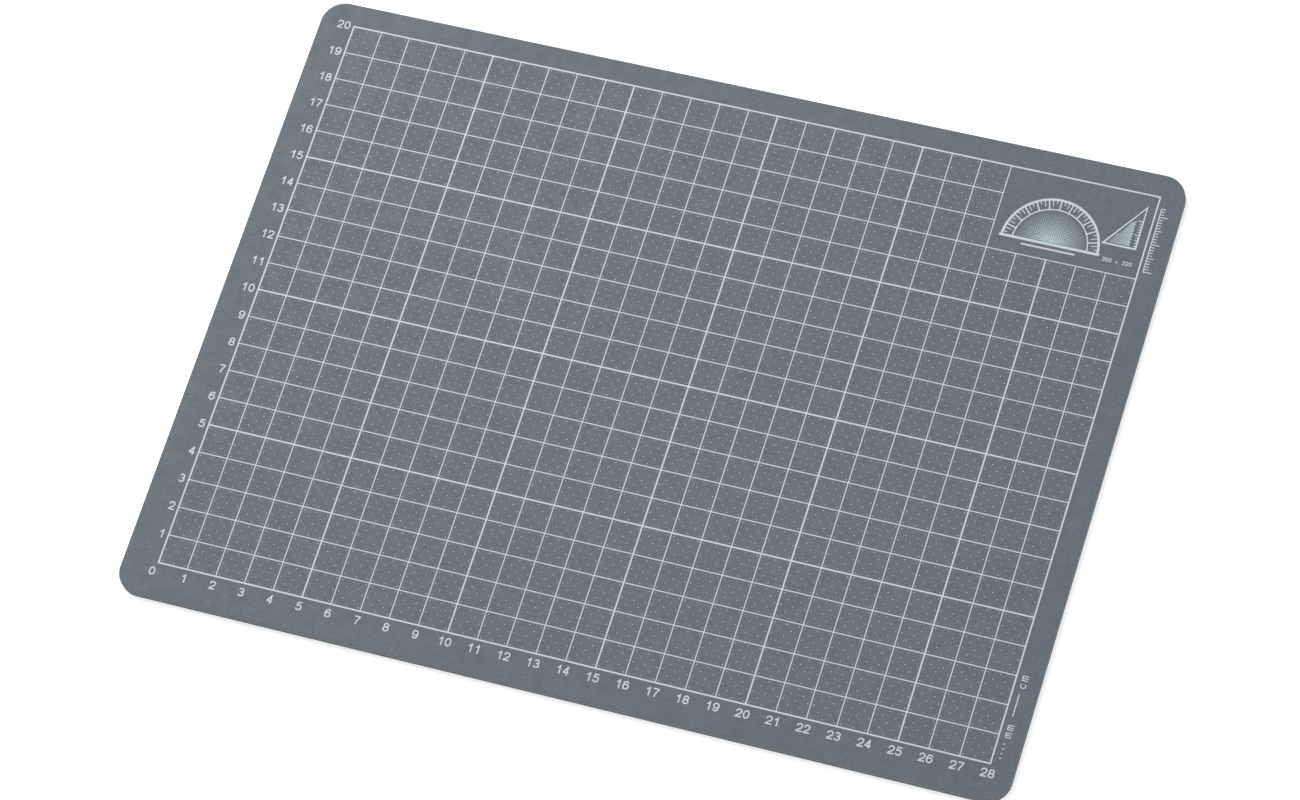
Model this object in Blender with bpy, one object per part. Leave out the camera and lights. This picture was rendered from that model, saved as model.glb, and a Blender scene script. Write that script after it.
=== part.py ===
"""Self-healing cutting mat for an A4 sheet: a five-ply laminate with a printed centimetre grid.

Metres, +Z up. The origin is at the centre of the underside, +X runs along the long side and +Y
towards the edge with the blank title panel. The work side faces up. Nothing on the mat moves.
"""

import math

import bmesh
import bpy

# Outline, common to all five plies because they are die-cut in one stroke
MAT_LENGTH = 0.300
MAT_WIDTH = 0.220
CORNER_RADIUS = 0.008
CORNER_STEPS = 12  # flats in each quarter-round corner

# Laminate. The soft healing plies close over a cut, the hard core stops the blade.
HEALING_PLY = 0.00080
TIE_PLY = 0.00040
CORE_PLY = 0.00052
BOND_LINE = 0.00002  # between neighbouring plies
RIM_ROUND = 0.00020  # rounded outer rim of each healing ply
RIM_STEPS = 3

# Printed grid. The column and row counts are as many whole pitches as fit between the borders.
GRID_PITCH = 0.010
LEFT_BORDER = 0.012
RIGHT_BORDER = 0.008
BOTTOM_BORDER = 0.012
TOP_BORDER = 0.008
PITCHES_PER_HEAVY_LINE = 5
HEAVY_LINE = 0.00052
LIGHT_LINE = 0.00035
PANEL_COLUMNS = 5  # the title panel is a blank corner of the grid
PANEL_ROWS = 3
INK_FILM = 0.00003
INK_SEAT = 0.00001  # between the ink and the ply under it
TINY = 1e-6  # guards the whole-pitch counts against rounding

SURFACES = {
    "healing_pvc": ((0.155, 0.184, 0.204), 0.55),
    "tie_pvc": ((0.105, 0.120, 0.132), 0.50),
    "core_pvc": ((0.040, 0.043, 0.047), 0.40),
    "grid_ink": ((0.680, 0.730, 0.750), 0.50),
}


def clear_scene():
    for obj in list(bpy.data.objects):
        bpy.data.objects.remove(obj, do_unlink=True)


def make_material(name):
    color, roughness = SURFACES[name]
    material = bpy.data.materials.new(name)
    material.use_nodes = True
    shader = material.node_tree.nodes["Principled BSDF"]
    shader.inputs["Base Color"].default_value = (*color, 1.0)
    shader.inputs["Roughness"].default_value = roughness
    shader.inputs["Metallic"].default_value = 0.0
    material.diffuse_color = (*color, 1.0)
    return material


def add_object(name, shape, material):
    """Turn a finished bmesh into a named object, smooth across its gentle edges only."""
    bmesh.ops.recalc_face_normals(shape, faces=shape.faces[:])
    mesh = bpy.data.meshes.new(name)
    shape.to_mesh(mesh)
    shape.free()
    mesh.shade_smooth()
    mesh.set_sharp_from_angle(angle=math.radians(35))
    mesh.materials.append(material)
    obj = bpy.data.objects.new(name, mesh)
    bpy.context.scene.collection.objects.link(obj)
    return obj


def outline(inset):
    """Points round the mat's outline, moved in by inset, anticlockwise from above."""
    radius = CORNER_RADIUS - inset
    centre_x = MAT_LENGTH / 2 - CORNER_RADIUS
    centre_y = MAT_WIDTH / 2 - CORNER_RADIUS
    points = []
    for corner, (side_x, side_y) in enumerate([(1, 1), (-1, 1), (-1, -1), (1, -1)]):
        for step in range(CORNER_STEPS + 1):
            angle = math.pi / 2 * (corner + step / CORNER_STEPS)
            x = side_x * centre_x + radius * math.cos(angle)
            y = side_y * centre_y + radius * math.sin(angle)
            points.append((x, y))
    return points


def make_ply(name, low, high, material, round_low=False, round_high=False):
    """A sheet of the mat's outline between two heights, with a quarter-round rim where asked."""
    quarter = [math.pi / 2 * step / RIM_STEPS for step in range(RIM_STEPS + 1)]
    levels = []
    if round_low:
        for angle in quarter:
            levels.append((RIM_ROUND * (1 - math.sin(angle)), low + RIM_ROUND * (1 - math.cos(angle))))
    else:
        levels.append((0.0, low))
    if round_high:
        for angle in reversed(quarter):
            levels.append((RIM_ROUND * (1 - math.sin(angle)), high - RIM_ROUND * (1 - math.cos(angle))))
    else:
        levels.append((0.0, high))

    shape = bmesh.new()
    rings = [[shape.verts.new((x, y, z)) for x, y in outline(inset)] for inset, z in levels]
    for lower, upper in zip(rings, rings[1:]):
        for i in range(len(lower)):
            j = (i + 1) % len(lower)
            shape.faces.new((lower[i], lower[j], upper[j], upper[i]))
    shape.faces.new(rings[0])
    shape.faces.new(rings[-1])
    return add_object(name, shape, material)


def whole_pitches(span):
    return math.floor(span / GRID_PITCH + TINY)


def grid_strips():
    """The printed strips of the open grid, each as (low x, low y, high x, high y)."""
    left = LEFT_BORDER - MAT_LENGTH / 2
    bottom = BOTTOM_BORDER - MAT_WIDTH / 2
    columns = whole_pitches(MAT_LENGTH - LEFT_BORDER - RIGHT_BORDER)
    rows = whole_pitches(MAT_WIDTH - BOTTOM_BORDER - TOP_BORDER)
    right = left + columns * GRID_PITCH
    top = bottom + rows * GRID_PITCH
    panel_left = right - PANEL_COLUMNS * GRID_PITCH
    panel_bottom = top - PANEL_ROWS * GRID_PITCH
    heavy = HEAVY_LINE / 2
    light = LIGHT_LINE / 2

    def upright(x, high, half):
        return (x - half, bottom - heavy, x + half, high + half)

    def rail(y, high, half):
        return (left - heavy, y - half, high + half, y + half)

    strips = [upright(left, top, heavy), upright(right, top, heavy)]
    strips += [rail(bottom, right, heavy), rail(top, right, heavy)]
    for column in range(PITCHES_PER_HEAVY_LINE, columns, PITCHES_PER_HEAVY_LINE):
        x = left + column * GRID_PITCH
        crosses_panel = x > panel_left - light
        strips.append(upright(x, panel_bottom if crosses_panel else top, heavy))
    for row in range(PITCHES_PER_HEAVY_LINE, rows, PITCHES_PER_HEAVY_LINE):
        y = bottom + row * GRID_PITCH
        crosses_panel = y > panel_bottom - light
        strips.append(rail(y, panel_left if crosses_panel else right, heavy))
    strips.append((panel_left - light, panel_bottom - light, panel_left + light, top))
    strips.append((panel_left - light, panel_bottom - light, right, panel_bottom + light))
    return strips


def make_grid_print(name, seat, material):
    """One connected film of ink: the frame, the heavy lines and the title panel's border."""
    strips = grid_strips()
    across = sorted({round(x, 7) for strip in strips for x in (strip[0], strip[2])})
    along = sorted({round(y, 7) for strip in strips for y in (strip[1], strip[3])})

    def inked(x, y):
        return any(strip[0] < x < strip[2] and strip[1] < y < strip[3] for strip in strips)

    shape = bmesh.new()
    corners = {}

    def corner(x, y):
        if (x, y) not in corners:
            corners[x, y] = shape.verts.new((x, y, seat))
        return corners[x, y]

    for x0, x1 in zip(across, across[1:]):
        for y0, y1 in zip(along, along[1:]):
            if inked((x0 + x1) / 2, (y0 + y1) / 2):
                shape.faces.new((corner(x0, y0), corner(x1, y0), corner(x1, y1), corner(x0, y1)))
    raised = bmesh.ops.extrude_face_region(shape, geom=shape.faces[:], use_keep_orig=True)
    film_top = [item for item in raised["geom"] if isinstance(item, bmesh.types.BMVert)]
    bmesh.ops.translate(shape, verts=film_top, vec=(0.0, 0.0, INK_FILM))
    return add_object(name, shape, material)


def build_mat():
    healing = make_material("healing_pvc")
    tie = make_material("tie_pvc")
    core = make_material("core_pvc")
    ink = make_material("grid_ink")

    stack = [
        ("bottom_healing_ply", HEALING_PLY, healing, {"round_low": True}),
        ("lower_tie_ply", TIE_PLY, tie, {}),
        ("core_ply", CORE_PLY, core, {}),
        ("upper_tie_ply", TIE_PLY, tie, {}),
        ("top_healing_ply", HEALING_PLY, healing, {"round_high": True}),
    ]
    height = 0.0
    for name, thickness, material, rims in stack:
        make_ply(name, height, height + thickness, material, **rims)
        height += thickness + BOND_LINE
    make_grid_print("grid_print", height - BOND_LINE + INK_SEAT, ink)


clear_scene()
build_mat()
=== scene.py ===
"""Looks of the self-healing mat: laminated PVC with a printed centimetre grid, on a pale floor.

World units are metres, +Z up. The print is laid out in millimetres from the grid's zero corner,
x to the right along the bottom scale and y up the left scale, and then set on the top ply.
"""

import math

import bpy
from mathutils import Matrix, Vector, noise
from mathutils.geometry import delaunay_2d_cdt


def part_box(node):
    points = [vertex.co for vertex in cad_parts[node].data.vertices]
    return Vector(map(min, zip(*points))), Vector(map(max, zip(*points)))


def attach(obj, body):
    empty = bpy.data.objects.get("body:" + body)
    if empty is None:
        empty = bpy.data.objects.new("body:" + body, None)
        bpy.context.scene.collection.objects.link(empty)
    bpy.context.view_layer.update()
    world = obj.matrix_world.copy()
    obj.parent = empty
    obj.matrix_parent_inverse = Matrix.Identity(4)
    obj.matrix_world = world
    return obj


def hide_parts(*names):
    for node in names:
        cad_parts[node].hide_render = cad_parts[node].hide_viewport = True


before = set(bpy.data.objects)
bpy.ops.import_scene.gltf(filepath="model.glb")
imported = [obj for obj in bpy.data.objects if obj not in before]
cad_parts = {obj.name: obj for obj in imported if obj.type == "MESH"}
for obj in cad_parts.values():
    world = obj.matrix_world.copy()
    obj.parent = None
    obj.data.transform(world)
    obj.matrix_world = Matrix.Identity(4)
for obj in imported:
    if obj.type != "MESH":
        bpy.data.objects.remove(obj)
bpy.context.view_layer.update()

MM = 0.001

# Outline and edge of the die-cut laminate, in metres
CORNER_RADIUS = 8.0 * MM
CORNER_STEPS = 40
SIDE_STEP = 1.6 * MM  # spacing of points along the straight sides
OUTER_RIM_ROUND = 0.22 * MM
PLY_EDGE_ROUND = 0.05 * MM
RIM_STEPS = 5
FACE_MARGIN = 0.3 * MM  # flat ring between a rounded rim and the face inside it
TIE_SET_BACK = 0.03 * MM  # the harder plies sit a little behind the outline
CORE_SET_BACK = 0.06 * MM
SMOOTH_BELOW = 40.0  # degrees between faces

# Unevenness that the cutting die leaves: a slow wander and a finer ripple
EDGE_RIPPLE = 0.012 * MM
WANDER_SCALE = 260.0  # per metre
RIPPLE_SCALE = 1500.0
RIPPLE_SHARE = 0.5  # of the wander's depth
RIPPLE_CLIMB = 0.2  # how much of the height counts in the ripple, so that it runs up the edge

# Printed grid, in millimetres
PITCH = 10.0
HEAVY_EVERY = 5
HEAVY_LINE = 0.52
LIGHT_LINE = 0.35
PANEL_COLUMNS = 5
PANEL_ROWS = 3
DOT_DIAMETER = 0.32
DOT_STEP = 2.0  # the dots sit on the odd millimetres, in a staggered raster
DOT_START = 1.0
DISC_SIDES = 8

# Figures, in millimetres
FIGURE_WIDTH = 2.12
FIGURE_HEIGHT = 2.95
FIGURE_STROKE = 0.45
FIGURE_ADVANCE = 2.42
BOTTOM_FIGURE_DROP = 3.15  # from the frame line down to the figures' middle
LEFT_FIGURE_EDGE = 1.30  # from the frame line left to the figures' right edge
ZERO_SHIFT = -1.1  # the 0 stands left of its line, clear of the corner

# Key to the dots and lines, which reads up the right border, in millimetres
KEY_OFFSET = 2.45  # from the frame line right to the key's middle
KEY_LETTER_WIDTH = 1.9
KEY_LETTER_HEIGHT = 2.7
KEY_LETTER_STROKE = 0.30
KEY_ADVANCE = 2.6
KEY_DOTS = 4
KEY_DOT_RADIUS = 0.26
KEY_DOT_SIDES = 12
KEY_DOT_SPACING = 1.6
KEY_FIRST_DOT = 2.4
KEY_MM_MIDDLE = 11.6
KEY_LINE_START = 16.6
KEY_LINE_END = 24.2
KEY_CM_MIDDLE = 28.4

# Millimetre scale up the right border, beside the title panel
SCALE_OFFSET = 1.5  # from the frame line right to the scale's spine
SCALE_START = 173.0
SCALE_TICKS = 24
SCALE_LINE = 0.32
SCALE_TICK = 1.4
SCALE_TICK_5 = 2.1
SCALE_TICK_10 = 2.8

# Protractor in the title panel, in millimetres
PROTRACTOR_OUTER = 16.0
PROTRACTOR_INNER = 12.4
OUTER_ARC_LINE = 0.80
INNER_ARC_LINE = 0.42
SPOKE_LINE = 0.46  # every 15 degrees, from the inner arc to the outer one
ANGLE_TICK_LINE = 0.30
ANGLE_TICK_5 = 1.5
ANGLE_TICK_10 = 2.4
BASE_OVERHANG = 0.8
BASE_HALF_LINE = 0.45
UNDERLINE_HALF_LENGTH = 9.0
UNDERLINE_TOP = -1.5
UNDERLINE_BOTTOM = -2.1

# Set square in the title panel, in millimetres
SET_SQUARE_LINE = 0.60
SET_SQUARE_TICKS = 10
SET_SQUARE_TICK = 1.0
SET_SQUARE_TICK_5 = 1.7
SET_SQUARE_HALF_TICK_LINE = 0.15

# Halftone tint inside the protractor and the set square, in millimetres
TINT_STEP = 0.62
TINT_ROW = TINT_STEP * math.sqrt(3) / 2
TINT_RADIUS = 0.30
TINT_RISE = 0.9  # from a base line up to the first row
TINT_REACH = 11.4  # from the protractor's centre
TINT_FADE = 0.72
TINT_FADE_POWER = 1.3
SQUARE_TINT_FADE = 0.55
SQUARE_TINT_MARGIN = 2.4  # left of the upright, clear of its ticks
SQUARE_TINT_DROP = 1.5  # below the long side

# Size note in the title panel, in millimetres
NOTE_WIDTH = 0.92
NOTE_HEIGHT = 1.50
NOTE_STROKE = 0.23
NOTE_ADVANCE = 1.12

# Camera: a long lens above the lower right of the mat, turned about its own axis
CAMERA_TARGET = (0.00118, -0.00544, 0.003)
CAMERA_DISTANCE = 1.7200
CAMERA_AZIMUTH = 36.23  # degrees; 0 looks along +Y
CAMERA_ELEVATION = 64.44
CAMERA_ROLL = -20.65
CAMERA_LENS = 147.83
CAMERA_SENSOR = 36.0

# Light and floor
WORLD_STRENGTH = 0.62
KEY_LIGHT_PLACE = (-0.62, 0.60, 1.20)
KEY_LIGHT_SIZE = 0.8
KEY_LIGHT_POWER = 13.0
FLOOR_REACH = 6.0
FLOOR_GLOW = 0.47
FLOOR_HEIGHT = 0.05 * MM  # level with the rounded lower rim, so the underside shows from below

# Colours, linear
PVC = (0.0975, 0.1235, 0.1432)
TIE = (0.075, 0.088, 0.098)
CORE = (0.030, 0.032, 0.036)
INK = (0.552, 0.606, 0.660)
PALE_INK = (0.520, 0.660, 0.670)
FLOOR = (0.90, 0.90, 0.90)

# Noise textures keep mostly between these two values
NOISE_LOW = 0.3
NOISE_HIGH = 0.7


# ---------------------------------------------------------------- flat shapes, in millimetres


def ellipse(cx, cy, rx, ry, start, end, steps=20):
    """Points along an ellipse's arc between two angles in degrees."""
    angles = [math.radians(start + (end - start) * i / steps) for i in range(steps + 1)]
    return [(cx + rx * math.cos(a), cy + ry * math.sin(a)) for a in angles]


def smooth(points, steps=6):
    """A Catmull-Rom curve through the points."""
    ends = [points[0]] + list(points) + [points[-1]]
    curve = []
    for a, b, c, d in zip(ends, ends[1:], ends[2:], ends[3:]):
        for i in range(steps):
            t = i / steps
            curve.append(tuple(
                0.5 * (2 * q + (r - p) * t + (2 * p - 5 * q + 4 * r - s) * t * t
                       + (3 * q - p - 3 * r + s) * t ** 3)
                for p, q, r, s in zip(a, b, c, d)
            ))
    return curve + [points[-1]]


def ribbon(path, width):
    """Four-sided polygons, mitred at each point, that cover a path of the given width."""
    same_point = 1e-6
    least_cosine = 0.5  # keeps the mitre of a sharp corner short
    path = [Vector(p) for p in path]
    closed = (path[0] - path[-1]).length < same_point
    if closed:
        path = path[:-1]
    count = len(path)
    left, right = [], []
    for i, point in enumerate(path):
        before = path[i - 1] if (closed or i > 0) else None
        after = path[(i + 1) % count] if (closed or i < count - 1) else None
        into = (point - before).normalized() if before is not None else None
        out = (after - point).normalized() if after is not None else None
        along = ((into or out) + (out or into)).normalized()
        side = Vector((-along.y, along.x))
        reference = into or out
        cosine = abs(side.dot(Vector((-reference.y, reference.x))))
        stretch = 1.0 / max(least_cosine, cosine)
        left.append(point + side * width / 2 * stretch)
        right.append(point - side * width / 2 * stretch)
    last = count if closed else count - 1
    return [[left[i], right[i], right[(i + 1) % count], left[(i + 1) % count]] for i in range(last)]


def rectangle(x0, y0, x1, y1):
    return [Vector((x0, y0)), Vector((x1, y0)), Vector((x1, y1)), Vector((x0, y1))]


def union(polygons):
    """One flat patch, as (points, triangles), that covers what any of the polygons covers."""
    triangles_inside = 1  # the kind of output asked for
    merge_within = 1e-5
    points, faces = [], []
    for polygon in polygons:
        area = sum(a.x * b.y - b.x * a.y for a, b in zip(polygon, polygon[1:] + polygon[:1]))
        if area < 0:
            polygon = polygon[::-1]
        faces.append(list(range(len(points), len(points) + len(polygon))))
        points.extend(polygon)
    found = delaunay_2d_cdt(points, [], faces, triangles_inside, merge_within, True)
    triangles = [tuple(face) for face, sources in zip(found[2], found[5]) if sources]
    return [tuple(p) for p in found[0]], triangles


def moved(patch, dx, dy, turn=0.0):
    c, s = math.cos(math.radians(turn)), math.sin(math.radians(turn))
    points, faces = patch
    return [(x * c - y * s + dx, x * s + y * c + dy) for x, y in points], faces


def disc(x, y, radius, first=0.0):
    """An eight-sided patch; first is the angle of its first corner, in steps of a side."""
    angles = (2 * math.pi * (i + first) / DISC_SIDES for i in range(DISC_SIDES))
    points = [(x + radius * math.cos(a), y + radius * math.sin(a)) for a in angles]
    return points, [tuple(range(DISC_SIDES))]


# ---------------------------------------------------------------- figures and letters


def glyph_paths(name):
    """Centre lines of a figure or letter in a unit box, with some straight ends run on past it."""
    end = 0.10  # about half a stroke
    paths = {
        "0": [ellipse(0.5, 0.5, 0.5, 0.5, 0, 360, 32)],
        "1": [[(0.66, -end), (0.66, 1 + end)],
              smooth([(0.10, 0.74), (0.34, 0.77), (0.52, 0.86), (0.62, 1.0)])],
        "2": [smooth([(0.02, 0.66), (0.10, 0.90), (0.50, 1.0), (0.88, 0.90), (0.96, 0.70),
                      (0.82, 0.48), (0.42, 0.27), (0.10, 0.10), (0.04, 0.0)]),
              [(-0.13, 0.0), (1.10, 0.0)]],
        "3": [ellipse(0.48, 0.755, 0.42, 0.245, 165, -85, 18),
              ellipse(0.48, 0.265, 0.50, 0.265, 95, -165, 20),
              [(0.36, 0.52), (0.52, 0.52)]],
        "4": [[(0.72, -end), (0.72, 1 + end)], [(0.74, 1.02), (0.02, 0.28)],
              [(-0.08, 0.25), (1.10, 0.25)]],
        "5": [[(0.98, 1.0), (0.22, 1.0), (0.10, 0.48)],
              ellipse(0.47, 0.33, 0.52, 0.33, 140, -162, 24)],
        "6": [ellipse(0.5, 0.31, 0.5, 0.31, 0, 360, 28),
              smooth([(0.0, 0.30), (0.01, 0.60), (0.18, 0.90), (0.52, 1.0), (0.80, 0.95),
                      (0.95, 0.78)])],
        "7": [[(-0.10, 1.0), (1.05, 1.0)],
              smooth([(1.02, 0.98), (0.70, 0.62), (0.46, 0.28), (0.36, -end)])],
        "8": [ellipse(0.5, 0.755, 0.42, 0.245, 0, 360, 24),
              ellipse(0.5, 0.265, 0.50, 0.265, 0, 360, 28)],
        "m": [[(0.0, -end), (0.0, 0.72)],
              smooth([(0.0, 0.45), (0.10, 0.64), (0.27, 0.68), (0.42, 0.62), (0.46, 0.44)])
              + [(0.46, -end)],
              smooth([(0.46, 0.45), (0.56, 0.64), (0.74, 0.68), (0.90, 0.62), (0.94, 0.44)])
              + [(0.94, -end)]],
        "c": [ellipse(0.5, 0.33, 0.46, 0.35, 42, 318, 22)],
        "x": [[(0.10, 0.08), (0.86, 0.62)], [(0.10, 0.62), (0.86, 0.08)]],
    }
    paths["9"] = [[(1 - u, 1 - v) for u, v in path] for path in paths["6"]]
    return paths[name]


glyph_cache = {}


def glyph(name, width, height, stroke):
    """A patch of the figure or letter, centred on its box in x and y."""
    key = (name, width, height, stroke)
    if key not in glyph_cache:
        polygons = []
        for path in glyph_paths(name):
            scaled = [
                ((u - 0.5) * (width - stroke), (v - 0.5) * (height - stroke)) for u, v in path
            ]
            polygons += ribbon(scaled, stroke)
        glyph_cache[key] = union(polygons)
    return glyph_cache[key]


def word(text, x, y, advance, width, height, stroke, turn=0.0):
    """Patches of a run of figures or letters whose middle is at x, y."""
    patches = []
    for i, name in enumerate(text):
        if name == " ":
            continue
        offset = (i - (len(text) - 1) / 2) * advance
        dx = offset * math.cos(math.radians(turn))
        dy = offset * math.sin(math.radians(turn))
        patches.append(moved(glyph(name, width, height, stroke), x + dx, y + dy, turn))
    return patches


# ---------------------------------------------------------------- materials


def new_material(name):
    """A new material, with its node tree, its shader and the place of each surface point."""
    material = bpy.data.materials.new(name)
    material.use_nodes = True
    tree = material.node_tree
    place = tree.nodes.new("ShaderNodeTexCoord").outputs["Object"]
    return material, tree, tree.nodes["Principled BSDF"], place


def noise_at(tree, place, scale, detail=3.0, roughness=0.55):
    """A noise texture's value, with its scale in features per metre."""
    node = tree.nodes.new("ShaderNodeTexNoise")
    node.inputs["Scale"].default_value = scale
    node.inputs["Detail"].default_value = detail
    node.inputs["Roughness"].default_value = roughness
    tree.links.new(place, node.inputs["Vector"])
    return node.outputs["Fac"]


def spread(tree, value, low, high, noise_low=NOISE_LOW, noise_high=NOISE_HIGH):
    """A noise value stretched to run from low to high."""
    node = tree.nodes.new("ShaderNodeMapRange")
    node.inputs["From Min"].default_value = noise_low
    node.inputs["From Max"].default_value = noise_high
    node.inputs["To Min"].default_value = low
    node.inputs["To Max"].default_value = high
    tree.links.new(value, node.inputs["Value"])
    return node.outputs["Result"]


def product(tree, first, second):
    node = tree.nodes.new("ShaderNodeMath")
    node.operation = "MULTIPLY"
    tree.links.new(first, node.inputs[0])
    tree.links.new(second, node.inputs[1])
    return node.outputs["Value"]


def shaded(tree, color, factor):
    """The colour multiplied by a factor that varies over the surface."""
    node = tree.nodes.new("ShaderNodeVectorMath")
    node.operation = "SCALE"
    node.inputs[0].default_value = color
    tree.links.new(factor, node.inputs["Scale"])
    return node.outputs["Vector"]


def bump(tree, height, distance, strength, normal=None):
    node = tree.nodes.new("ShaderNodeBump")
    node.inputs["Distance"].default_value = distance
    node.inputs["Strength"].default_value = strength
    tree.links.new(height, node.inputs["Height"])
    if normal is not None:
        tree.links.new(normal, node.inputs["Normal"])
    return node.outputs["Normal"]


def pvc_material(name, color, grain):
    """Soft calendered PVC: faint clouding, fine speckle that is partly pigment and partly painted
    shade of the grain, painted shade in the pebbled grain's hollows, and the pebbled matte grain as
    bump.
    """
    material, tree, shader, place = new_material(name)
    clouds = noise_at(tree, place, scale=14.0, detail=2.0)
    speckle_and_grain_shade = noise_at(tree, place, scale=1100.0, detail=3.0, roughness=0.75)
    pebbles_and_hollow_shade = noise_at(tree, place, scale=1500.0, detail=2.0, roughness=0.6)
    # Colour: faint clouding, and fine speckle that is partly pigment and partly painted shade of
    # the grain
    factor = product(
        tree, spread(tree, clouds, 0.975, 1.025), spread(tree, speckle_and_grain_shade, 0.87, 1.13)
    )
    # Painted shade of the pebbled grain: the colour is darker where the pebble height is low, in
    # the hollows, and lighter on the tops
    factor = product(tree, factor, spread(tree, pebbles_and_hollow_shade, 0.93, 1.07))
    tree.links.new(shaded(tree, color, factor), shader.inputs["Base Color"])

    swell = noise_at(tree, place, scale=30.0, detail=1.0)
    fine = noise_at(tree, place, scale=6500.0, detail=2.0)
    normal = bump(tree, swell, distance=0.25 * MM, strength=0.30)
    normal = bump(tree, pebbles_and_hollow_shade, distance=0.16 * MM, strength=grain, normal=normal)
    normal = bump(tree, fine, distance=0.02 * MM, strength=grain, normal=normal)
    tree.links.new(normal, shader.inputs["Normal"])
    patches = noise_at(tree, place, scale=220.0, detail=4.0)
    tree.links.new(spread(tree, patches, 0.50, 0.62), shader.inputs["Roughness"])
    shader.inputs["Specular IOR Level"].default_value = 0.42
    return material


def cut_edge_material(name, color, streaks_per_metre, gloss):
    """A die-cut edge: drag lines along the thickness. gloss is the lowest roughness."""
    material, tree, shader, place = new_material(name)
    squash = tree.nodes.new("ShaderNodeMapping")
    squash.inputs["Scale"].default_value = (1.0, 1.0, 0.10)
    tree.links.new(place, squash.inputs["Vector"])
    drawn = squash.outputs["Vector"]
    broad = noise_at(tree, drawn, scale=streaks_per_metre, detail=2.0, roughness=0.6)
    thin = noise_at(tree, drawn, scale=streaks_per_metre * 4.0, detail=2.0, roughness=0.6)
    grit = noise_at(tree, place, scale=4200.0, detail=2.0)
    factor = product(tree, spread(tree, broad, 0.88, 1.12), spread(tree, thin, 0.84, 1.18))
    tree.links.new(shaded(tree, color, factor), shader.inputs["Base Color"])
    normal = bump(tree, broad, distance=0.06 * MM, strength=0.5)
    normal = bump(tree, thin, distance=0.03 * MM, strength=0.6, normal=normal)
    normal = bump(tree, grit, distance=0.01 * MM, strength=0.4, normal=normal)
    tree.links.new(normal, shader.inputs["Normal"])
    tree.links.new(spread(tree, thin, gloss, gloss + 0.16), shader.inputs["Roughness"])
    return material


def ink_material(name, color):
    """Screen-printed ink: slightly uneven cover over the grain, with a dry matte skin."""
    material, tree, shader, place = new_material(name)
    cover = noise_at(tree, place, scale=900.0, detail=3.0, roughness=0.6)
    drift = noise_at(tree, place, scale=25.0, detail=1.0)
    factor = product(
        tree,
        spread(tree, cover, 0.90, 1.08, noise_low=0.25, noise_high=0.75),
        spread(tree, drift, 0.97, 1.03),
    )
    tree.links.new(shaded(tree, color, factor), shader.inputs["Base Color"])
    grain = noise_at(tree, place, scale=4200.0, detail=3.0)
    tree.links.new(bump(tree, grain, distance=0.008 * MM, strength=0.5), shader.inputs["Normal"])
    tree.links.new(spread(tree, cover, 0.45, 0.60), shader.inputs["Roughness"])
    shader.inputs["Specular IOR Level"].default_value = 0.40
    return material


def floor_material():
    material, tree, shader, place = new_material("pale_floor")
    cloud = noise_at(tree, place, scale=3.0, detail=2.0)
    tree.links.new(
        shaded(tree, FLOOR, spread(tree, cloud, 0.99, 1.01)), shader.inputs["Base Color"]
    )
    shader.inputs["Roughness"].default_value = 0.9
    shader.inputs["Specular IOR Level"].default_value = 0.1
    shader.inputs["Emission Color"].default_value = (1.0, 1.0, 1.0, 1.0)
    shader.inputs["Emission Strength"].default_value = FLOOR_GLOW
    return material


# ---------------------------------------------------------------- the laminate


def outline_points(half_length, half_width):
    """(x, y, normal x, normal y) round the rounded outline, anticlockwise from the right side."""
    points = []
    corners = [(1, 1), (-1, 1), (-1, -1), (1, -1)]
    for number, (side_x, side_y) in enumerate(corners):
        centre_x = side_x * (half_length - CORNER_RADIUS)
        centre_y = side_y * (half_width - CORNER_RADIUS)
        for step in range(CORNER_STEPS + 1):
            angle = math.pi / 2 * (number + step / CORNER_STEPS)
            nx, ny = math.cos(angle), math.sin(angle)
            points.append((centre_x + CORNER_RADIUS * nx, centre_y + CORNER_RADIUS * ny, nx, ny))
        next_x, next_y = corners[(number + 1) % 4]
        start = Vector(points[-1][:2])
        target = Vector((
            next_x * (half_length - CORNER_RADIUS) + CORNER_RADIUS * nx,
            next_y * (half_width - CORNER_RADIUS) + CORNER_RADIUS * ny,
        ))
        steps = round((target - start).length / SIDE_STEP)
        for step in range(1, steps):
            x, y = start.lerp(target, step / steps)
            points.append((x, y, nx, ny))
    return points


def rounded_profile(low, high, round_low, round_high):
    """(inset, z) of a ply's edge from its underside to its top, with a flat margin at both."""
    profile = [(round_low + FACE_MARGIN, low)]
    for step in range(RIM_STEPS + 1):
        angle = math.pi / 2 * step / RIM_STEPS
        inset = round_low * (1 - math.sin(angle))
        profile.append((inset, low + round_low * (1 - math.cos(angle))))
    for step in range(RIM_STEPS + 1):
        angle = math.pi / 2 * (1 - step / RIM_STEPS)
        inset = round_high * (1 - math.sin(angle))
        profile.append((inset, high - round_high * (1 - math.cos(angle))))
    profile.append((round_high + FACE_MARGIN, high))
    return profile


def edge_points(border, profile, set_back):
    """The profile swept round the border, moved in by the set-back and the uneven cut."""
    middle = (profile[0][1] + profile[-1][1]) / 2
    points = []
    for depth, z in profile:
        for x, y, nx, ny in border:
            wander = noise.noise(Vector((x, y, middle)) * WANDER_SCALE)
            climb = middle + z * RIPPLE_CLIMB
            ripple = noise.noise(Vector((x, y, climb)) * RIPPLE_SCALE) * RIPPLE_SHARE
            back = set_back + depth + EDGE_RIPPLE * (1 + wander + ripple)
            points.append((x - nx * back, y - ny * back, z))
    return points


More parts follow.
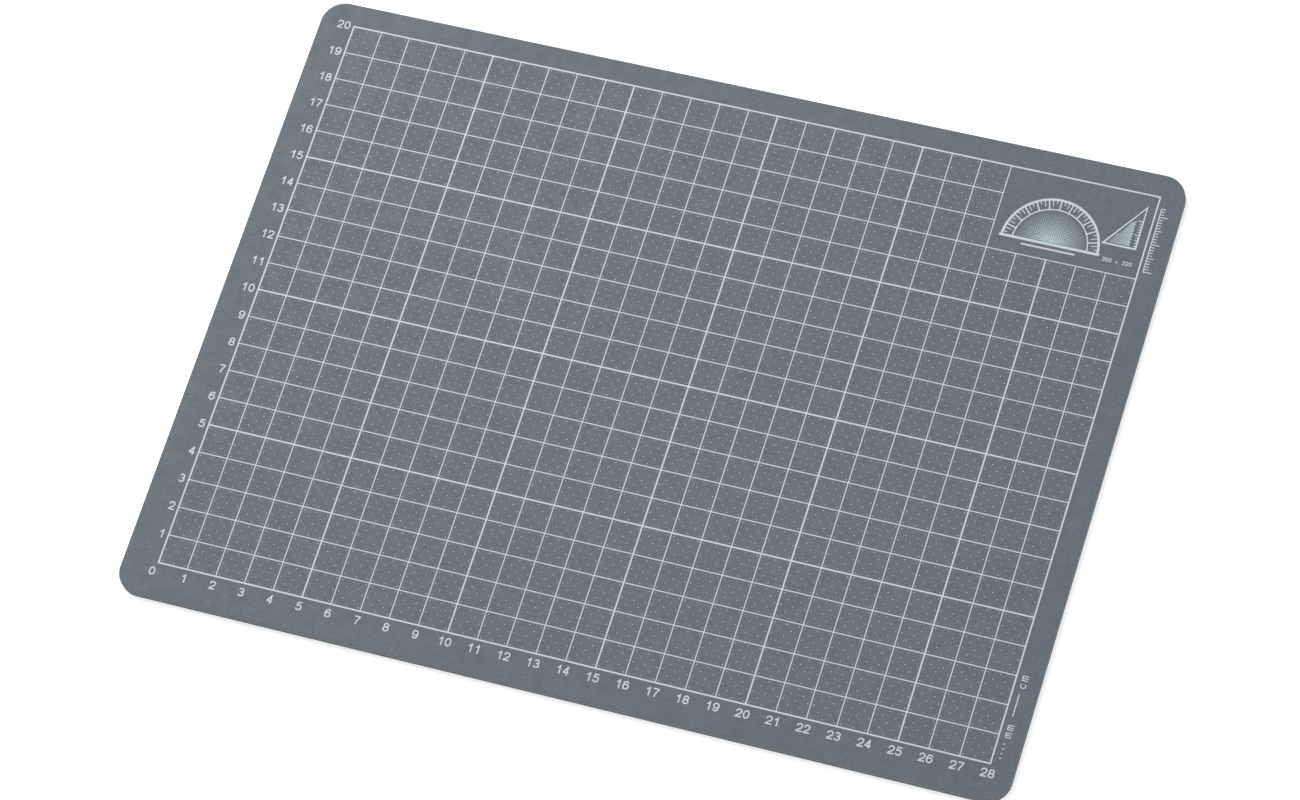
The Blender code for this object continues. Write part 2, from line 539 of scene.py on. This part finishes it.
def make_ply(name, node, slot, face_material, edge_material, set_back, round_low, round_high):
    """One ply with a finely uneven cut edge, set back from the CAD outline."""
    low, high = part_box(node)
    border = outline_points(high.x, high.y)
    profile = rounded_profile(low.z, high.z, round_low, round_high)
    points = edge_points(border, profile, set_back)
    count = len(border)
    faces = []
    for ring in range(len(profile) - 1):
        a, b = ring * count, (ring + 1) * count
        for i in range(count):
            j = (i + 1) % count
            faces.append((a + i, a + j, b + j, b + i))
    edge_faces = len(faces)
    faces.append(tuple(reversed(range(count))))
    faces.append(tuple(range(len(points) - count, len(points))))
    mesh = bpy.data.meshes.new(name)
    mesh.from_pydata(points, [], faces)
    mesh.shade_smooth()
    mesh.set_sharp_from_angle(angle=math.radians(SMOOTH_BELOW))
    mesh.materials.append(face_material)
    mesh.materials.append(edge_material)
    for polygon in mesh.polygons:
        ring = polygon.index // count
        on_edge = polygon.index < edge_faces and 0 < ring < len(profile) - 2
        polygon.material_index = 1 if on_edge else 0
    return finish_piece(name, mesh, slot, node)


def finish_piece(name, mesh, slot, *nodes):
    piece = bpy.data.objects.new(name, mesh)
    bpy.context.scene.collection.objects.link(piece)
    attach(piece, "root")
    if nodes:
        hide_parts(*nodes)
    return piece


# ---------------------------------------------------------------- the print


def rim_of(faces):
    """The directed edges that belong to one face only."""
    edges = {(a, b) for face in faces for a, b in zip(face, face[1:] + face[:1])}
    return sorted((a, b) for a, b in edges if (b, a) not in edges)


def make_film(name, patches, material, *nodes):
    """A closed film of ink over the flat patches, as thick as the CAD model's print."""
    low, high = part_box("grid_print")
    origin_x = low.x + HEAVY_LINE / 2 * MM
    origin_y = low.y + HEAVY_LINE / 2 * MM
    points, faces = [], []
    for flat, patch_faces in patches:
        base = len(points)
        top = base + len(flat)
        for z in (low.z, high.z):
            points += [(origin_x + x * MM, origin_y + y * MM, z) for x, y in flat]
        faces += [tuple(base + i for i in reversed(face)) for face in patch_faces]
        faces += [tuple(top + i for i in face) for face in patch_faces]
        faces += [(base + a, base + b, top + b, top + a) for a, b in rim_of(patch_faces)]
    mesh = bpy.data.meshes.new(name)
    mesh.from_pydata(points, [], faces)
    mesh.materials.append(material)
    return finish_piece(name, mesh, "grid_ink", *nodes)


def whole_pitches(low, high):
    """Pitches between the outer edges of two frame lines, given in metres."""
    return round(((high - low) / MM - HEAVY_LINE) / PITCH)


frame_low, frame_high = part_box("grid_print")
COLUMNS = whole_pitches(frame_low.x, frame_high.x)
ROWS = whole_pitches(frame_low.y, frame_high.y)
RIGHT = COLUMNS * PITCH
TOP = ROWS * PITCH
PANEL_LEFT = RIGHT - PANEL_COLUMNS * PITCH
PANEL_BOTTOM = TOP - PANEL_ROWS * PITCH

# Centre of the protractor, and the set square's lower left and upper right corners
PROTRACTOR = (PANEL_LEFT + 19.5, PANEL_BOTTOM + 5.6)
SET_SQUARE = ((PANEL_LEFT + 36.2, PANEL_BOTTOM + 10.2), (PANEL_LEFT + 47.0, PANEL_BOTTOM + 25.4))
SIZE_NOTE = (PANEL_LEFT + 42.4, PANEL_BOTTOM + 4.6)


def line_width(number, last):
    return HEAVY_LINE if number % HEAVY_EVERY == 0 or number == last else LIGHT_LINE


def grid_lines():
    """Strips of the whole grid, cut short at the title panel."""
    reach = HEAVY_LINE / 2
    strips = []
    for column in range(COLUMNS + 1):
        x, half = column * PITCH, line_width(column, COLUMNS) / 2
        end = PANEL_BOTTOM if PANEL_LEFT < x < RIGHT else TOP + reach
        strips.append(rectangle(x - half, -reach, x + half, end))
    for row in range(ROWS + 1):
        y, half = row * PITCH, line_width(row, ROWS) / 2
        end = PANEL_LEFT if PANEL_BOTTOM < y < TOP else RIGHT + reach
        strips.append(rectangle(-reach, y - half, end, y + half))
    return strips


def dot_patches():
    """Every second place of the raster in each cell, outside the title panel."""
    per_cell = round(PITCH / DOT_STEP)
    patches = []
    for i in range(COLUMNS * per_cell):
        for j in range(ROWS * per_cell):
            x = DOT_START + i * DOT_STEP
            y = DOT_START + j * DOT_STEP
            skipped = (i % per_cell + j % per_cell) % 2 == 1
            in_panel = x > PANEL_LEFT and y > PANEL_BOTTOM
            if not skipped and not in_panel:
                patches.append(disc(x, y, DOT_DIAMETER / 2, first=0.5))
    return patches


def figure_patches():
    """0 to the last column along the bottom, and 1 to the last row up the left side."""
    size = (FIGURE_WIDTH, FIGURE_HEIGHT, FIGURE_STROKE)
    patches = []
    for number in range(COLUMNS + 1):
        x = number * PITCH + (ZERO_SHIFT if number == 0 else 0.0)
        patches += word(str(number), x, -BOTTOM_FIGURE_DROP, FIGURE_ADVANCE, *size)
    for number in range(1, ROWS + 1):
        text = str(number)
        half = ((len(text) - 1) * FIGURE_ADVANCE + FIGURE_WIDTH) / 2
        x = -LEFT_FIGURE_EDGE - half
        patches += word(text, x, number * PITCH, FIGURE_ADVANCE, *size)
    return patches


def unit_key_patches():
    """A small key up the right border: mm beside sample dots, cm beside a sample line."""
    x = RIGHT + KEY_OFFSET
    letters = (KEY_LETTER_WIDTH, KEY_LETTER_HEIGHT, KEY_LETTER_STROKE)
    radius = KEY_DOT_RADIUS
    last_corner = 360 - 360 / KEY_DOT_SIDES
    patches = []
    for i in range(KEY_DOTS):
        y = KEY_FIRST_DOT + i * KEY_DOT_SPACING
        rim = ellipse(x, y, radius, radius, 0, last_corner, KEY_DOT_SIDES - 1)
        patches.append(union([[Vector(point) for point in rim]]))
    patches += word("mm", x, KEY_MM_MIDDLE, KEY_ADVANCE, *letters, turn=90)
    half = LIGHT_LINE / 2
    patches.append(union([rectangle(x - half, KEY_LINE_START, x + half, KEY_LINE_END)]))
    patches += word("cm", x, KEY_CM_MIDDLE, KEY_ADVANCE, *letters, turn=90)
    return patches


def tick_patches():
    """A short millimetre scale up the right border, beside the title panel."""
    x = RIGHT + SCALE_OFFSET
    half = SCALE_LINE / 2
    last = SCALE_START + SCALE_TICKS - 1
    strips = []
    for i in range(SCALE_TICKS):
        length = SCALE_TICK_10 if i % 10 == 0 else SCALE_TICK_5 if i % 5 == 0 else SCALE_TICK
        y = SCALE_START + i
        strips.append(rectangle(x, y - half, x + length, y + half))
    strips.append(rectangle(x - half, SCALE_START - half, x + half, last + half))
    return [union(strips)]


def protractor_patches():
    """A plain protractor: two arcs, spokes, ticks, a base rule and a line under it."""
    cx, cy = PROTRACTOR
    outer, inner = PROTRACTOR_OUTER, PROTRACTOR_INNER
    polygons = ribbon(ellipse(cx, cy, outer, outer, 0, 180, 90), OUTER_ARC_LINE)
    polygons += ribbon(ellipse(cx, cy, inner, inner, 0, 180, 80), INNER_ARC_LINE)
    for degrees in range(0, 181, 5):
        if degrees % 15 == 0:
            start, line = inner, SPOKE_LINE
        else:
            start = outer - (ANGLE_TICK_10 if degrees % 10 == 0 else ANGLE_TICK_5)
            line = ANGLE_TICK_LINE
        a = math.radians(degrees)
        spoke = [(cx + r * math.cos(a), cy + r * math.sin(a)) for r in (start, outer)]
        polygons += ribbon(spoke, line)
    half = outer + BASE_OVERHANG
    polygons.append(rectangle(cx - half, cy - BASE_HALF_LINE, cx + half, cy + BASE_HALF_LINE))
    half = UNDERLINE_HALF_LENGTH
    polygons.append(rectangle(cx - half, cy + UNDERLINE_BOTTOM, cx + half, cy + UNDERLINE_TOP))
    return [union(polygons)]


def set_square_patches():
    """A set square beside the protractor, with ticks along its upright."""
    (left, base), (right, top) = SET_SQUARE
    corners = [(left, base), (right, base), (right, top), (left, base)]
    half = SET_SQUARE_HALF_TICK_LINE
    polygons = ribbon(corners, SET_SQUARE_LINE)
    for i in range(1, SET_SQUARE_TICKS + 1):
        length = SET_SQUARE_TICK_5 if i % 5 == 0 else SET_SQUARE_TICK
        polygons.append(rectangle(right - length, base + i - half, right, base + i + half))
    return [union(polygons)]


def protractor_tint():
    """Raster dots that shrink away from the protractor's centre."""
    cx, cy = PROTRACTOR
    across = math.ceil(TINT_REACH / TINT_STEP)
    patches = []
    for row in range(math.ceil(TINT_REACH / TINT_ROW)):
        stagger = TINT_STEP / 2 if row % 2 else 0.0
        y = TINT_RISE + row * TINT_ROW
        for column in range(-across, across + 1):
            x = column * TINT_STEP + stagger
            away = math.hypot(x, y)
            if away < TINT_REACH:
                radius = TINT_RADIUS * (1 - TINT_FADE * (away / TINT_REACH) ** TINT_FADE_POWER)
                patches.append(disc(cx + x, cy + y, radius))
    return patches


def set_square_tint():
    """Raster dots that shrink away from the set square's upright."""
    (left, base), (right, top) = SET_SQUARE
    slope = (top - base) / (right - left)
    patches = []
    for row in range(math.ceil((top - base) / TINT_ROW)):
        stagger = TINT_STEP / 2 if row % 2 else 0.0
        y = base + TINT_RISE + row * TINT_ROW
        for column in range(math.ceil((right - left) / TINT_STEP)):
            x = right - SQUARE_TINT_MARGIN - column * TINT_STEP - stagger
            if y < base + (x - left) * slope - SQUARE_TINT_DROP:
                radius = TINT_RADIUS * (1 - SQUARE_TINT_FADE * (right - x) / (right - left))
                patches.append(disc(x, y, radius))
    return patches


def size_note_patches():
    return word("300 x 220", *SIZE_NOTE, NOTE_ADVANCE, NOTE_WIDTH, NOTE_HEIGHT, NOTE_STROKE)


# ---------------------------------------------------------------- build


pvc = pvc_material("healing_pvc_matte", PVC, grain=0.7)
under_pvc = pvc_material("underside_pvc_matte", PVC, grain=0.9)
pvc_cut = cut_edge_material("healing_pvc_cut", PVC, streaks_per_metre=1300.0, gloss=0.40)
tie = cut_edge_material("tie_pvc_cut", TIE, streaks_per_metre=1900.0, gloss=0.36)
core = cut_edge_material("core_pvc_cut", CORE, streaks_per_metre=1600.0, gloss=0.30)
ink = ink_material("grid_ink_offwhite", INK)
tint = ink_material("panel_ink_tint", PALE_INK)

make_ply(
    "bottom_healing_layer", "bottom_healing_ply", "healing_pvc", under_pvc, pvc_cut,
    set_back=0.0, round_low=OUTER_RIM_ROUND, round_high=PLY_EDGE_ROUND,
)
make_ply(
    "lower_tie_layer", "lower_tie_ply", "tie_pvc", tie, tie,
    set_back=TIE_SET_BACK, round_low=PLY_EDGE_ROUND, round_high=PLY_EDGE_ROUND,
)
make_ply(
    "core_layer", "core_ply", "core_pvc", core, core,
    set_back=CORE_SET_BACK, round_low=PLY_EDGE_ROUND, round_high=PLY_EDGE_ROUND,
)
make_ply(
    "upper_tie_layer", "upper_tie_ply", "tie_pvc", tie, tie,
    set_back=TIE_SET_BACK, round_low=PLY_EDGE_ROUND, round_high=PLY_EDGE_ROUND,
)
make_ply(
    "top_healing_layer", "top_healing_ply", "healing_pvc", pvc, pvc_cut,
    set_back=0.0, round_low=PLY_EDGE_ROUND, round_high=OUTER_RIM_ROUND,
)

make_film("printed_grid_lines", [union(grid_lines())], ink, "grid_print")
make_film("printed_dots", dot_patches(), ink)
make_film("printed_figures", figure_patches(), ink)
make_film("printed_unit_key", unit_key_patches(), ink)
make_film("printed_tick_scale", tick_patches(), ink)
make_film("printed_protractor", protractor_patches(), ink)
make_film("printed_set_square", set_square_patches(), ink)
make_film("printed_tint", protractor_tint() + set_square_tint(), tint)
make_film("printed_size_note", size_note_patches(), ink)


# ---------------------------------------------------------------- stage, light and camera


def make_floor():
    reach = FLOOR_REACH
    mesh = bpy.data.meshes.new("floor")
    corners = [(-reach, -reach), (reach, -reach), (reach, reach), (-reach, reach)]
    mesh.from_pydata([(x, y, FLOOR_HEIGHT) for x, y in corners], [], [(0, 1, 2, 3)])
    mesh.materials.append(floor_material())
    floor = bpy.data.objects.new("floor", mesh)
    bpy.context.scene.collection.objects.link(floor)


def make_key_light():
    data = bpy.data.lights.new("key_light", "AREA")
    data.shape = "SQUARE"
    data.size = KEY_LIGHT_SIZE
    data.energy = KEY_LIGHT_POWER
    light = bpy.data.objects.new("key_light", data)
    bpy.context.scene.collection.objects.link(light)
    light.location = KEY_LIGHT_PLACE
    light.rotation_euler = (-Vector(KEY_LIGHT_PLACE)).to_track_quat("-Z", "Y").to_euler()


def make_world():
    world = bpy.data.worlds.new("soft_studio")
    bpy.context.scene.world = world
    world.use_nodes = True
    background = world.node_tree.nodes["Background"]
    background.inputs["Color"].default_value = (1.0, 1.0, 1.0, 1.0)
    background.inputs["Strength"].default_value = WORLD_STRENGTH


def make_camera():
    azimuth, elevation = math.radians(CAMERA_AZIMUTH), math.radians(CAMERA_ELEVATION)
    away = Vector((
        math.sin(azimuth) * math.cos(elevation),
        -math.cos(azimuth) * math.cos(elevation),
        math.sin(elevation),
    ))
    data = bpy.data.cameras.new("camera")
    data.sensor_width = CAMERA_SENSOR
    data.lens = CAMERA_LENS
    camera = bpy.data.objects.new("camera", data)
    bpy.context.scene.collection.objects.link(camera)
    turn = away.to_track_quat("Z", "Y").to_matrix().to_4x4()
    roll = Matrix.Rotation(math.radians(CAMERA_ROLL), 4, "Z")
    camera.matrix_world = (
        Matrix.Translation(Vector(CAMERA_TARGET) + away * CAMERA_DISTANCE) @ turn @ roll
    )
    bpy.context.scene.camera = camera


make_floor()
make_world()
make_key_light()
make_camera()
bpy.context.scene.view_settings.view_transform = "Standard"
